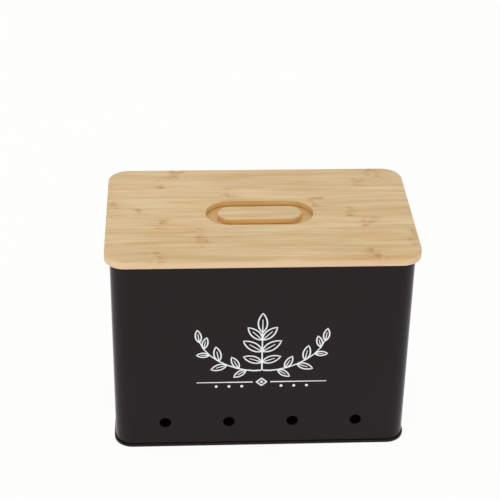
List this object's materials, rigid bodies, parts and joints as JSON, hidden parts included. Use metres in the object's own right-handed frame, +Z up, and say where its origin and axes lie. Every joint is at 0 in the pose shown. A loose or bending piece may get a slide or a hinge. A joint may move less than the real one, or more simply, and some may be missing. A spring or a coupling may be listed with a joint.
{
  "type": "potato storage bin",
  "caption": "Rectangular enamelled steel storage bin with rounded corners, a row of vent holes near the base, and a lift-off bamboo lid with a routed grip groove.",
  "frame": {"origin": "centre of the footprint on the surface that the bin stands on", "axes": "+X along the long front to the right, +Y to the rear, +Z up, in the way the lid lifts"},
  "size_m": [0.31, 0.185, 0.2283],
  "materials": {
    "enamel": "gloss black-brown baked enamel",
    "bamboo": "sanded and clear-lacquered bamboo, satin",
    "bamboo_plug": "sanded and clear-lacquered bamboo, satin",
    "print_ink": "white screen-printed ink, satin, on the front wall only"
  },
  "bodies": {
    "bin": {"front_shell": "enamel", "rear_shell": "enamel", "base_panel": "enamel"},
    "lid": {"lid_strip_1": "bamboo", "lid_strip_2": "bamboo", "lid_strip_3": "bamboo", "lid_strip_4": "bamboo", "lid_strip_5": "bamboo", "lid_strip_6": "bamboo", "lid_strip_7": "bamboo", "lid_strip_8": "bamboo", "lid_strip_9": "bamboo", "plug_strip_1": "bamboo_plug", "plug_strip_2": "bamboo_plug", "plug_strip_3": "bamboo_plug", "plug_strip_4": "bamboo_plug", "plug_strip_5": "bamboo_plug", "plug_strip_6": "bamboo_plug", "plug_strip_7": "bamboo_plug", "plug_strip_8": "bamboo_plug"}
  },
  "joints": [
    {"name": "lid_lift", "type": "slide", "parent": "bin", "child": "lid", "axis": [0, 0, 1], "range_m": [0, 0.2]}
  ]
}
